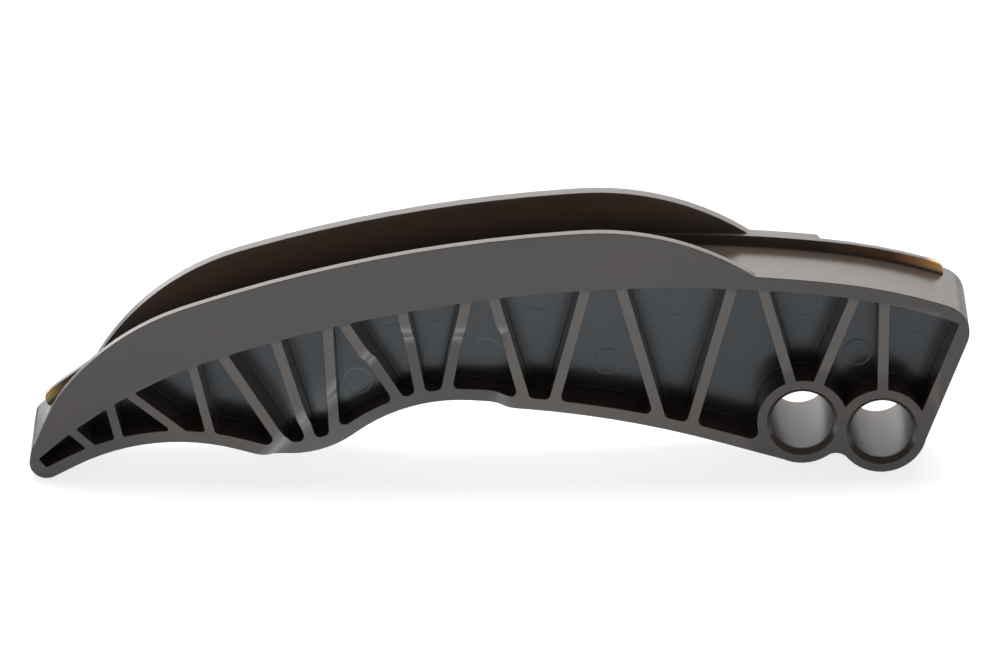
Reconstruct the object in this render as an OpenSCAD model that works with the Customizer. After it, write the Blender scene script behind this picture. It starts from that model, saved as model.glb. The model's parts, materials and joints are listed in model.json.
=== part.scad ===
// Timing chain guide rail, moulded in one piece.
// A curved channel on top carries the chain, a truss of ribs stands on each side of a
// middle web, and two bosses at one end take the fixing bolts.
// X runs along the rail, Y across it and Z up. The origin is on the axis of the first
// bore, in the middle of the rail's width.

/* [Sliding face] */
// Place of the highest point of the sliding face along the rail
crown_x = -22.4; // [-30:0.1:-15]
// Height of the highest point of the sliding face above the first bore
crown_z = 25.8; // [22:0.1:32]
// Radius of the long middle arc of the sliding face
slide_r = 222.9; // [160:0.5:320]
// Radius of the arc towards the toe
slide_toe_r = 80.9; // [65:0.5:120]
// Radius of the arc towards the bolted end
slide_end_r = 87.5; // [60:0.5:140]
// Angle from the crown at which the toe arc takes over
slide_toe_a = 18.8; // [14:0.1:24]
// Angle from the crown at which the end arc takes over
slide_end_a = 7.2; // [4:0.1:11]

/* [Rail section] */
// Width of the rail across the chain
rail_w = 15.6; // [13:0.1:22]
// Thickness of the wall under the sliding face
slide_t = 2.3; // [1.6:0.1:3.2]
// Thickness of the lower wall
lower_t = 2.05; // [1.6:0.05:3]
// Thickness of the end wall
end_t = 2.4; // [1.4:0.05:2.8]
// Thickness of the middle web
web_t = 1.8; // [1.2:0.1:3]
// Clear width of the chain channel
channel_w = 10.8; // [8:0.1:12]

/* [Cheeks and lip] */
// Thickness of the front cheek
front_cheek_t = 1.6; // [1.2:0.1:2.2]
// Height of the front cheek above the sliding face
front_cheek_h = 7.55; // [6:0.05:9]
// How much the back cheek stands above the front one
back_cheek_rise = 1.3; // [0:0.05:2.5]
// Radius in which the cheek edges fall towards the toe
cheek_toe_r = 40.6; // [36:0.1:46]
// Radius in which the cheek edges fall towards the bolts
cheek_end_r = 44; // [38:0.1:50]
// Angle from upright at which the front cheek's edge starts to fall towards the toe
front_toe_a = 19.4; // [18:0.1:21]
// Angle from upright at which the back cheek's edge starts to fall towards the toe
back_toe_a = 16.9; // [15.5:0.1:18.5]
// Angle from upright at which both cheek edges start to fall towards the bolts
cheek_end_a = 3.15; // [2:0.05:4.5]
// Thickness of the back cheek
back_cheek_t = 2.2; // [1.4:0.1:3]
// Height of the lip along the foot of the back cheek
lip_h = 1.7; // [1:0.1:2.6]
// Thickness of the lip where it stands alone
lip_t = 0.9; // [0.6:0.1:1.6]
// Height of the low ridge that carries on from the back cheek
ridge_h = 1.5; // [0.8:0.1:2]

/* [Bosses] */
// Radius of both bolt bores
bore_r = 5; // [3.5:0.1:5.5]
// Wall around each bore
boss_wall = 2.25; // [1.6:0.05:3]
// Place of the second bore along the rail, from the first
bore_dx = 12.71; // [11.5:0.05:16]
// Height of the second bore, from the first
bore_dz = -1.7; // [-3:0.05:0]
// How far the bosses stand out behind the rail
boss_proud = 3.7; // [1:0.1:8]
// Chamfer at each bore mouth
bore_chamfer = 0.8; // [0.2:0.1:1.2]
// Fillet in the valley below and between the bosses
valley_r = 2.5; // [1:0.1:4]
// Fillet in the pocket corner between the first boss and the lower wall
boss_foot_r = 1.2; // [0.6:0.1:2]

/* [Ends] */
// Reach of the bolted end beyond the first bore
end_x = 27.8; // [24:0.1:32]
// Rounding where the sliding face turns down at the bolted end
end_round = 4.8; // [2:0.1:5.5]
// Radius of the rounded toe
toe_r = 2.7; // [2:0.05:3]
// Middle of the toe rounding along the rail
toe_x = -120.9; // [-124:0.1:-119]
// Middle of the toe rounding in height
toe_z = -6.15; // [-7:0.05:-5]
// Lean of the toe's end face from its foot to the sliding face
toe_lean = 0.5; // [0:0.05:1]

/* [Ribs] */
// Thickness of the short ribs towards the toe
toe_rib_t = 1.5; // [1.1:0.05:2]
// Thickness of the other ribs
rib_t = 1.75; // [1.2:0.05:2.2]
// Rounding in the upper pocket corners
pocket_top_round = 0.25; // [0.15:0.05:0.6]
// Rounding in the lower pocket corners
pocket_foot_round = 0.9; // [0.3:0.05:1]
// Rounding in the lower corners of the small pockets at the toe
toe_foot_round = 0.3; // [0.15:0.05:0.6]

/* [Relief] */
// Depth of the relief in the front faces of ribs and lower wall
relief_depth = 2.1; // [1:0.1:3]
// Width of the soft step down into the relief, at its upper and bolt-side edges
relief_step = 5; // [3.4:0.1:6]
// Width of the step at its slanted edge
relief_toe_step = 4.4; // [3.4:0.1:7]
// Upper edge of the relief above the first bore
relief_top_z = 17.9; // [16:0.1:19]
// Edge of the relief towards the bolts
relief_end_x = -45.4; // [-48:0.1:-44]
// Point on the slanted edge of the relief towards the toe, along the rail
relief_toe_x = -78.1; // [-80:0.1:-74]
// Height of that point
relief_toe_z = 5.2; // [3:0.1:8]
// Lean of the slanted edge from upright
relief_lean = 43.5; // [30:0.5:50]

/* [Output] */
// Sub-part to draw

/* [Hidden] */
// Largest gap between a drawn arc and the true one
sag = 0.02;
// Overlap that joins added walls to the rail
sink = 0.7;
// Overrun of every cut
over = 1;
front_y = -rail_w / 2;
back_y = rail_w / 2;
lip_y = front_y + front_cheek_t + channel_w;
boss_r = bore_r + boss_wall;
// Circle in each boss that the outer walls run up to, just under its surface
boss_bite = 0.06;
wall_meet_r = boss_r - boss_bite;
bore_a = [0, 0];
bore_b = [bore_dx, bore_dz];
toe_c = [toe_x, toe_z];
// Centres of the three sliding arcs, each tangent to the next
mid_c = [crown_x, crown_z - slide_r];
toe_arc_c = mid_c + (slide_r - slide_toe_r) * [-sin(slide_toe_a), cos(slide_toe_a)];
end_arc_c = mid_c + (slide_r - slide_end_r) * [sin(slide_end_a), cos(slide_end_a)];
// Corners of the lower edge with their roundings: arch, lobe, notch, long arch
lower_pts = [
    [-103.74, -0.11, 34.6],
    [-78.4, -7.49, 16.95],
    [-63.06, 3.97, 27.3],
    [-30.31, 1.72, 158]
];
// Angles from upright at which the falling arcs of each cheek's edge end
front_toe_fall_a = 56.5;
front_end_fall_a = 36.5;
back_toe_fall_a = 66;
back_end_fall_a = 36;
// Start and end angles of each cheek's falling arcs, towards the toe and the bolts
front_cheek_a = [front_toe_a, cheek_end_a];
back_cheek_a = [back_toe_a, cheek_end_a];
front_fall_a = [front_toe_fall_a, front_end_fall_a];
back_fall_a = [back_toe_fall_a, back_end_fall_a];
// Angle left between a cheek's long arc and its falling arcs
arc_gap_a = 0.6;
// Rounding where the front cheek's edge runs out straight to the toe, at its foot and its top
front_foot_r = 8;
front_join_r = 20;
// Ends of the lip and the ridge along the rail
lip_toe = -121.1;
lip_end = 22.75;
ridge_toe = -9.6;
ridge_end = 4.9;
// Rounding where the sliding face turns down at the toe
toe_edge_r = 1.8;
// Rounding of the lip's tips
lip_tip_r = 1.6;
// Length at each end of the lip that its rounded tip is drawn in
lip_tip_l = 3;
// Length of the slope that ends the ridge
ridge_slope_l = 2.4;
// Place of the lip's back face, always grown into the back cheek
lip_bite = 0.2;
lip_back = max(lip_y + lip_t, back_y - back_cheek_t + lip_bite);
// How far in from its ends each cheek's edge is carried down into the rail
cheek_inset = 0.5;
// Length of sliding face that is left for the rounded corner at the bolted end and at the toe
end_corner_l = 6;
toe_corner_l = 2.2;
// Length of the front cheek's foot that stays clear of the toe's corner
toe_foot_l = 2;
// How far the inner line of the lower wall is drawn past the toe and into the first boss
lower_toe_l = 8;
lower_boss_l = 12;
// Ribs as top place, foot place and thickness, from the toe to the bosses
ribs = [
    [-116.53, -113.73, toe_rib_t],
    [-110.42, -109.19, toe_rib_t],
    [-107.1, -99.61, toe_rib_t],
    [-97.1, -94.59, toe_rib_t],
    [-92.2, -82.65, rib_t],
    [-83.8, -78.55, rib_t],
    [-75.5, -74.8, rib_t],
    [-72.9, -64.5, rib_t],
    [-63.6, -60.97, rib_t],
    [-53.5, -56.75, rib_t],
    [-49.1, -44.4, rib_t],
    [-34.56, -39.56, rib_t],
    [-28.9, -22.8, rib_t],
    [-11.37, -17.64, rib_t]
];
// Tops of the three ribs that run down to the boss centres
boss_rib_tops = [-6.38, 8.05, 12.82];
// Closed edge of the toe pocket, top and foot
toe_pocket = [-122.04, -120.9];
// Number of small pockets at the toe
toe_pockets = 4;

// Geometry helpers
function unit(v) = v / norm(v);
function turn(v) = [-v[1], v[0]];
function xz(p) = [p[0], p[1]];
function arc_step(r) = min(24, 2 * acos(1 - min(0.5, sag / r)));
function arc_pts(c, r, a0, a1) =
    let (n = max(2, ceil(abs(a1 - a0) / arc_step(r))))
    [for (i = [0:n]) c + r * [cos(a0 + (a1 - a0) * i / n), sin(a0 + (a1 - a0) * i / n)]];
function swing(a) = a > 180 ? a - 360 : a < -180 ? a + 360 : a;
// Half the angle of a corner, and how far its rounding reaches along the edges
function half_angle(p0, p1, p2) = acos(unit(xz(p0) - xz(p1)) * unit(xz(p2) - xz(p1))) / 2;
function has_round(p) = len(p) > 2 && p[2] > 0;
function reach(p0, p1, p2) = has_round(p1) ? p1[2] / tan(half_angle(p0, p1, p2)) : 0;
// Rounded corner, no longer than its edges allow
function corner_arc(p0, p1, p2, r) =
    let (
        u = unit(xz(p0) - xz(p1)),
        v = unit(xz(p2) - xz(p1)),
        half = half_angle(p0, p1, p2),
        c = xz(p1) + unit(u + v) * r / sin(half),
        q0 = xz(p1) + u * r / tan(half) - c,
        q1 = xz(p1) + v * r / tan(half) - c,
        a0 = atan2(q0[1], q0[0])
    )
    arc_pts(c, r, a0, a0 + swing(atan2(q1[1], q1[0]) - a0));
function corner(p0, p1, p2) = has_round(p1) ? corner_arc(p0, p1, p2, p1[2]) : [xz(p1)];
edge_share = 0.97;
function round_all(pts, first, final) =
    let (
        n = len(pts),
        t = [for (i = [0:n - 1])
            i < first || i > final ? 0 : reach(pts[(i + n - 1) % n], pts[i], pts[(i + 1) % n])],
        k = [for (i = [0:n - 1])
            let (j = (i + 1) % n)
            min(1, edge_share * norm(xz(pts[j]) - xz(pts[i])) / max(0.001, t[i] + t[j]))]
    )
    [for (i = [0:n - 1]) each (
        t[i] == 0 ? [xz(pts[i])] :
        corner_arc(
            pts[(i + n - 1) % n], pts[i], pts[(i + 1) % n],
            pts[i][2] * min(k[i], k[(i + n - 1) % n])
        )
    )];
function rounded(pts) = round_all(pts, 0, len(pts) - 1);
function rounded_path(pts) = round_all(pts, 1, len(pts) - 2);
// Point where a line from p touches a circle, on the chosen side
function touch(p, c, r, side) =
    let (
        d = norm(c - p),
        a = atan2(c[1] - p[1], c[0] - p[0]) + side * asin(r / d)
    )
    p + sqrt(d * d - r * r) * [cos(a), sin(a)];
// Crossing of the line p + s u with the line q + s v
function cross_pt(p, u, q, v) =
    p + u * ((q[0] - p[0]) * v[1] - (q[1] - p[1]) * v[0]) / (u[0] * v[1] - u[1] * v[0]);

// Height of the sliding face at x, less a depth t below it
function slide_z(x, t) =
    x < mid_c[0] - (slide_r - t) * sin(slide_toe_a) ? arc_z(x, toe_arc_c, slide_toe_r - t) :
    x > mid_c[0] + (slide_r - t) * sin(slide_end_a) ? arc_z(x, end_arc_c, slide_end_r - t) :
    arc_z(x, mid_c, slide_r - t);
function arc_z(x, c, r) = c[1] + sqrt(max(0, r * r - (x - c[0]) * (x - c[0])));
// Points along the sliding face from x0 to x1, at depth t below it
slide_pitch = 4;
function slide_run(x0, x1, t) =
    let (n = max(2, ceil(abs(x1 - x0) / slide_pitch)))
    [for (i = [0:n]) let (x = x0 + (x1 - x0) * i / n) [x, slide_z(x, t)]];

// Lower edge from the toe to the first boss, and the same line moved up by t
lower_from = touch(xz(lower_pts[0]), toe_c, toe_r, 1);
lower_to = touch(xz(lower_pts[3]), bore_a, wall_meet_r, -1);
lower_all = concat([lower_from], lower_pts, [lower_to]);
function lower_shift(t) =
    let (
        n = len(lower_all),
        heads = [for (i = [0:n - 2]) unit(xz(lower_all[i + 1]) - xz(lower_all[i]))]
    )
    rounded_path([
        for (i = [0:n - 1])
            i == 0 ? xz(lower_all[0]) + t * turn(heads[0]) - lower_toe_l * heads[0] :
            i == n - 1 ? xz(lower_all[i]) + t * turn(heads[n - 2]) + lower_boss_l * heads[n - 2] :
            let (
                m = unit(turn(heads[i - 1]) + turn(heads[i])),
                p = xz(lower_all[i]) + m * t / (m * turn(heads[i])),
                bend = cross([heads[i - 1][0], heads[i - 1][1], 0], [heads[i][0], heads[i][1], 0])[2]
            )
            [p[0], p[1], lower_all[i][2] - t * sign(bend)]
    ]);
lower_in = lower_shift(lower_t);
function lower_z(x) = lookup(x, lower_in);
// Slopes of the two inner lines at x
nudge = 0.05;
function lower_grade(x) = (lower_z(x + nudge) - lower_z(x - nudge)) / (2 * nudge);
function upper_grade(x) = (slide_z(x + nudge, slide_t) - slide_z(x - nudge, slide_t)) / (2 * nudge);
// Point on the inner lower line met by p + s u, closed in on in n steps
function meet_lower(p, u, n) =
    n == 0 ? p : meet_lower(p + u * (lower_z(p[0]) - p[1]) / (u[1] - lower_grade(p[0]) * u[0]), u, n - 1);
// Point on the inner upper line met by p + s u, closed in on in n steps
function meet_upper(p, u, n) =
    n == 0 ? p :
    meet_upper(p + u * (slide_z(p[0], slide_t) - p[1]) / (u[1] - upper_grade(p[0]) * u[0]), u, n - 1);

// Outline of the rail without cheeks
end_corner = [end_x, slide_z(end_x, 0)];
end_foot = touch(end_corner, bore_b, wall_meet_r, 1);
toe_left = toe_x - toe_r;
toe_top_x = toe_left + toe_lean;
toe_top = [toe_top_x, slide_z(toe_top_x, 0)];
toe_tip = touch(toe_top, toe_c, toe_r, -1);
toe_a1 = atan2((toe_tip - toe_c)[1], (toe_tip - toe_c)[0]);
end_lead = [end_x - end_corner_l, slide_z(end_x - end_corner_l, 0)];
toe_lead = [toe_top_x + toe_corner_l, slide_z(toe_top_x + toe_corner_l, 0)];
gap_mid = (bore_a + bore_b) / 2;
gap_u = unit(bore_b - bore_a);
valley_c = gap_mid - turn(gap_u) * sqrt(pow(wall_meet_r + valley_r, 2) - pow(norm(bore_b - bore_a) / 2, 2));
valley_a0 = atan2((bore_a - valley_c)[1], (bore_a - valley_c)[0]);
valley_a1 = atan2((bore_b - valley_c)[1], (bore_b - valley_c)[0]);
toe_a0 = atan2((lower_from - toe_c)[1], (lower_from - toe_c)[0]);
rail_pts = concat(
    rounded_path(lower_all),
    arc_pts(valley_c, valley_r, valley_a0, valley_a1),
    [end_foot],
    corner(end_foot, concat(end_corner, end_round), end_lead),
    slide_run(end_lead[0], toe_lead[0], 0),
    corner(toe_lead, concat(toe_top, toe_edge_r), toe_tip),
    arc_pts(toe_c, toe_r, (toe_a1 + 360) % 360, toe_a0 + 360)
);

// Ribs: points on both edges at the top and the foot
function rib_u(r) = unit([r[1], lower_z(r[1])] - [r[0], slide_z(r[0], slide_t)]);
function rib_side(r, s) =
    let (
        u = rib_u(r),
        n = turn(u) * s * r[2] / 2,
        a = [r[0], slide_z(r[0], slide_t)] + n,
        b = [r[1], lower_z(r[1])] + n
    )
    [meet_upper(a, u, 6), meet_lower(b, u, 6)];
function boss_rib_side(x, c, s) =
    let (
        top = [x, slide_z(x, slide_t)],
        u = unit(c - top),
        n = turn(u) * s * rib_t / 2
    )
    [meet_upper(top + n, u, 6), c + n];
// Length kept clear for the rounded corner at each end of a curved pocket wall
corner_room = 2.2;
// Shortest curved pocket wall that is drawn
wall_run_min = 1;
// Points of a curved pocket wall, clear of the rounded corners at both ends
function wall_run(x0, x1, up) =
    let (
        s = sign(x1 - x0),
        a = x0 + s * corner_room,
        b = x1 - s * corner_room,
        n = ceil(abs(b - a) / slide_pitch)
    )
    s * (b - a) < wall_run_min ? [] :
    [for (i = [0:n]) let (x = a + (b - a) * i / n) [x, up ? slide_z(x, slide_t) : lower_z(x)]];
// Pocket between two rib edges, each given as top and foot
function pocket_pts(a, b, foot) =
    rounded(concat(
        [concat(a[0], pocket_top_round)],
        wall_run(a[0][0], b[0][0], true),
        [concat(b[0], pocket_top_round), concat(b[1], foot)],
        wall_run(b[1][0], a[1][0], false),
        [concat(a[1], foot)]
    ));
// Pocket between the last rib and the first boss
function boss_pocket_pts(a, b) =
    rounded(concat(
        top_edge(a, b),
        [b[1]],
        foot_arc,
        wall_run(foot_arc[len(foot_arc) - 1][0], a[1][0], false),
        [concat(a[1], pocket_foot_round)]
    ));
// Edges of the toe pocket and of the ribs that end in the bosses
toe_edge = [[toe_pocket[0], slide_z(toe_pocket[0], slide_t)], [toe_pocket[1], lower_z(toe_pocket[1])]];
boss_rib_ends = [bore_a, bore_a, bore_b];
last = len(ribs) - 1;
// Inner face of the end wall, from the corner down to the second boss
end_u = unit(end_foot - end_corner);
end_top = meet_upper(end_corner + turn(end_u) * -end_t, end_u, 6);
end_low = end_foot + turn(end_u) * -end_t;
side_15 = boss_rib_side(boss_rib_tops[0], boss_rib_ends[0], 1);
side_16 = boss_rib_side(boss_rib_tops[1], boss_rib_ends[1], -1);
far_15 = boss_rib_side(boss_rib_tops[0], boss_rib_ends[0], -1);
far_16 = boss_rib_side(boss_rib_tops[1], boss_rib_ends[1], 1);
near_17 = boss_rib_side(boss_rib_tops[2], boss_rib_ends[2], -1);
far_17 = boss_rib_side(boss_rib_tops[2], boss_rib_ends[2], 1);
fork = cross_pt(side_15[0], side_15[1] - side_15[0], side_16[0], side_16[1] - side_16[0]);
// Fillet at the foot of the first boss, run a little under the boss's surface
lower_u = unit(lower_to - xz(lower_pts[3]));
foot_drop = wall_meet_r - lower_t - boss_foot_r;
foot_reach = sqrt(pow(wall_meet_r + boss_foot_r, 2) - foot_drop * foot_drop);
foot_c = bore_a - turn(lower_u) * foot_drop - lower_u * foot_reach;
foot_a0 = atan2((bore_a - foot_c)[1], (bore_a - foot_c)[0]);
foot_a1 = foot_a0 + swing(atan2(-turn(lower_u)[1], -turn(lower_u)[0]) - foot_a0);
foot_arc = arc_pts(foot_c, boss_foot_r, foot_a0, foot_a1);
function top_edge(a, b) =
    concat(
        [concat(a[0], pocket_top_round)],
        wall_run(a[0][0], b[0][0], true),
        [concat(b[0], pocket_top_round)]
    );

// Outlines of cheeks, lip and ridge
// Point at height h above the sliding face, square to it
function slide_c(x) =
    x < mid_c[0] - slide_r * sin(slide_toe_a) ? toe_arc_c :
    x > mid_c[0] + slide_r * sin(slide_end_a) ? end_arc_c : mid_c;
function slide_pt(x, h) = [x, slide_z(x, 0)] + h * unit([x, slide_z(x, 0)] - slide_c(x));
function slide_pts(x0, x1, h) =
    let (n = max(2, ceil(abs(x1 - x0) / slide_pitch)))
    [for (i = [0:n]) slide_pt(x0 + (x1 - x0) * i / n, h)];
// Edge of a cheek of height h: an arc square above the sliding face and a falling arc at each end
function fall_c(h, r, a) = mid_c + (slide_r + h - r) * [-sin(a), cos(a)];
function cheek_edge(h, a, fall) = concat(
    arc_pts(fall_c(h, cheek_toe_r, a[0]), cheek_toe_r, 90 + fall[0], 90 + a[0]),
    arc_pts(mid_c, slide_r + h, 90 + a[0] - arc_gap_a, 90 + a[1] + arc_gap_a),
    arc_pts(fall_c(h, cheek_end_r, a[1]), cheek_end_r, 90 + a[1], 90 - fall[1])
);
front_edge = cheek_edge(front_cheek_h, front_cheek_a, front_fall_a);
back_edge = cheek_edge(front_cheek_h + back_cheek_rise, back_cheek_a, back_fall_a);
function end_x_of(edge) = edge[len(edge) - 1][0];
front_cheek_outline = rounded(concat(
    [toe_tip],
    [concat((toe_tip + toe_top) / 2, front_foot_r)],
    [concat(front_edge[0], front_join_r)],
    [for (i = [1:len(front_edge) - 1]) front_edge[i]],
    slide_pts(end_x_of(front_edge) - cheek_inset, toe_top_x + toe_foot_l, -2 * sink)
));
back_cheek_outline = concat(
    back_edge,
    slide_pts(end_x_of(back_edge) - cheek_inset, back_edge[0][0] + cheek_inset, -2 * sink)
);
lip_outline = rounded(concat(
    [slide_pt(lip_toe, -sink)],
    [concat(slide_pt(lip_toe, lip_h), lip_tip_r)],
    slide_pts(lip_toe + lip_tip_l, lip_end - lip_tip_l, lip_h),
    [concat(slide_pt(lip_end, lip_h), lip_tip_r)],
    slide_pts(lip_end, lip_toe + lip_tip_l, -sink)
));
ridge_outline = concat(
    slide_pts(ridge_toe, ridge_end - ridge_slope_l, ridge_h),
    slide_pts(ridge_end, ridge_toe, -sink)
);

// Soft step down into the relief, drawn as distance in from the edge against depth
relief_reach = 2 * (relief_end_x - relief_toe_x);
function step_a(w) = 2 * atan(relief_depth / w);
function step_r(w) = w / (2 * sin(step_a(w)));
function relief_profile(w) = concat(
    [[0, -over]],
    arc_pts([0, step_r(w)], step_r(w), -90, step_a(w) - 90),
    arc_pts([w, relief_depth - step_r(w)], step_r(w), step_a(w) + 90, 90),
    [[relief_reach, relief_depth]],
    [[relief_reach, -over]]
);

// Slab of an upright outline between two places across the rail
module slab(y0, y1) {
    rotate([90, 0, 0])
        translate([0, 0, -y1])
            linear_extrude(height = y1 - y0)
                children();
}

// Round bar across the rail
module cross_bar(c, r, y0, y1) {
    translate([c[0], y0, c[1]])
        rotate([-90, 0, 0])
            cylinder(h = y1 - y0, r = r, $fn = 72);
}

module bosses(y0, y1) {
    cross_bar(bore_a, boss_r, y0, y1);
    cross_bar(bore_b, boss_r, y0, y1);
}

module bore(c) {
    cross_bar(c, bore_r, front_y - over, back_y + boss_proud + over);
    translate([c[0], front_y - over, c[1]])
        rotate([-90, 0, 0])
            cylinder(h = bore_chamfer + over, r1 = bore_r + bore_chamfer + over, r2 = bore_r, $fn = 72);
    translate([c[0], back_y + boss_proud - bore_chamfer, c[1]])
        rotate([-90, 0, 0])
            cylinder(h = bore_chamfer + over, r1 = bore_r, r2 = bore_r + bore_chamfer + over, $fn = 72);
}

// All pockets of one side, between two places across the rail
module pockets(y0, y1) {
    difference() {
        union() {
            slab(y0, y1) polygon(pocket_pts(toe_edge, rib_side(ribs[0], -1), toe_foot_round));
            for (i = [0:last - 1])
                slab(y0, y1) polygon(pocket_pts(
                    rib_side(ribs[i], 1),
                    rib_side(ribs[i + 1], -1),
                    i < toe_pockets - 1 ? toe_foot_round : pocket_foot_round
                ));
            slab(y0, y1) polygon(boss_pocket_pts(rib_side(ribs[last], 1), far_15));
            slab(y0, y1) polygon(rounded(concat(top_edge(side_15, side_16), [fork])));
            slab(y0, y1) polygon(rounded(concat(top_edge(far_16, near_17), [near_17[1], far_16[1]])));
            slab(y0, y1) polygon(rounded(concat(top_edge(far_17, [end_top, end_low]), [end_low, far_17[1]])));
        }
        bosses(y0 - over, y1 + over);
    }
}

// One edge of the relief, leaning about the width direction
module relief_edge(x, z, lean, w) {
    translate([x, front_y, z])
        rotate([0, lean, 0])
            linear_extrude(height = 2 * relief_reach, center = true)
                polygon(relief_profile(w));
}

module relief() {
    intersection() {
        relief_edge(relief_toe_x, relief_toe_z, relief_lean, relief_toe_step);
        relief_edge(relief_toe_x, relief_top_z, 90, relief_step);
        relief_edge(relief_end_x, relief_toe_z, 180, relief_step);
    }
}

module guide_rail() {
    color([0.16, 0.14, 0.13])
    difference() {
        union() {
            slab(front_y, back_y) polygon(rail_pts);
            slab(front_y, front_y + front_cheek_t) polygon(front_cheek_outline);
            slab(back_y - back_cheek_t, back_y) polygon(back_cheek_outline);
            slab(lip_y, lip_back) polygon(lip_outline);
            slab(lip_y, back_y) polygon(ridge_outline);
            bosses(front_y, back_y + boss_proud);
        }
        pockets(front_y - over, -web_t / 2);
        pockets(web_t / 2, back_y + over);
        relief();
        bore(bore_a);
        bore(bore_b);
    }
}

guide_rail();
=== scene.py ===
"""Looks of a one-piece moulded timing chain guide rail.

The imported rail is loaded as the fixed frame. One visual piece stands for it: the same solid with
its edges broken as a mould leaves them, dressed in satin brown nylon and set in a plain studio.
"""

import json
import logging
import math
from dataclasses import dataclass, field
from enum import Enum

import bmesh
import bpy
from mathutils import Matrix, Vector

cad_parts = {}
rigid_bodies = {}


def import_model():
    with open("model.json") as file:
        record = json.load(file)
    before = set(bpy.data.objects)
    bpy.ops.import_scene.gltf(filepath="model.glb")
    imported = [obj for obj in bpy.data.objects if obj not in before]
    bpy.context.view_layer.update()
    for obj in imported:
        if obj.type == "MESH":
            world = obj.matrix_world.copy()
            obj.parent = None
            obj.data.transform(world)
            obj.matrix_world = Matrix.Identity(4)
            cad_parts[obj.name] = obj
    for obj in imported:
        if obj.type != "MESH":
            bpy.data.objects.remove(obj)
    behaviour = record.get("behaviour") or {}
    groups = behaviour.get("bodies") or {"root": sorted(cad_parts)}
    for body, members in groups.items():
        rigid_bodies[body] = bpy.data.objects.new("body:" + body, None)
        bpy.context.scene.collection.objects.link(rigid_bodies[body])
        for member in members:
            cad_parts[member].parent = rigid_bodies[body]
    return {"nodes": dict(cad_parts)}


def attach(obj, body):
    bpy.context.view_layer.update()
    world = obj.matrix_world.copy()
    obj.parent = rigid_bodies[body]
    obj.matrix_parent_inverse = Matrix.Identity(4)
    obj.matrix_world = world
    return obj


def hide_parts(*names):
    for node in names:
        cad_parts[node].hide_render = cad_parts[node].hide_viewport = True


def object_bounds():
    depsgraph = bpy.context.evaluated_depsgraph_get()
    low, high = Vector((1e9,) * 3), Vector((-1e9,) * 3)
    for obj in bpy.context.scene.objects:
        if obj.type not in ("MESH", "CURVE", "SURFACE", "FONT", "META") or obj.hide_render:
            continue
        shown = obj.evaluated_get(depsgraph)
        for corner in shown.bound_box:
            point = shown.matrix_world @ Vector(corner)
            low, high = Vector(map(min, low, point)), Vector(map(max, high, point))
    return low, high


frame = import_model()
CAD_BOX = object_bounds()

LOG = logging.getLogger("guide_rail_looks")
MM_PER_M = 1000.0
QUARTER_TURN = math.pi / 2.0

Triple = tuple[float, float, float]
Pair = tuple[float, float]
Socket = bpy.types.NodeSocket


class RailEnd(Enum):
    """The two ends of the rail."""

    TOE = "toe"
    BOLTS = "bolts"


class LampPlace(Enum):
    """Where a lamp of the studio stands."""

    OVERHEAD = "overhead_softbox"
    FRONT = "front_fill"


class MathStep(Enum):
    """Sums that the finish uses, by the name of the node's operation."""

    ADD = "ADD"
    MULTIPLY = "MULTIPLY"
    LARGER = "MAXIMUM"


def deselect_all() -> None:
    """Leaves object mode with nothing selected."""
    if bpy.context.object is not None and bpy.context.object.mode != "OBJECT":
        bpy.ops.object.mode_set(mode="OBJECT")
    bpy.ops.object.select_all(action="DESELECT")


def make_active(piece: bpy.types.Object) -> None:
    """Selects one object alone and makes it the active one.

    Args:
        piece: The object that the next operators work on.
    """
    deselect_all()
    piece.select_set(True)
    bpy.context.view_layer.objects.active = piece


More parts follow.
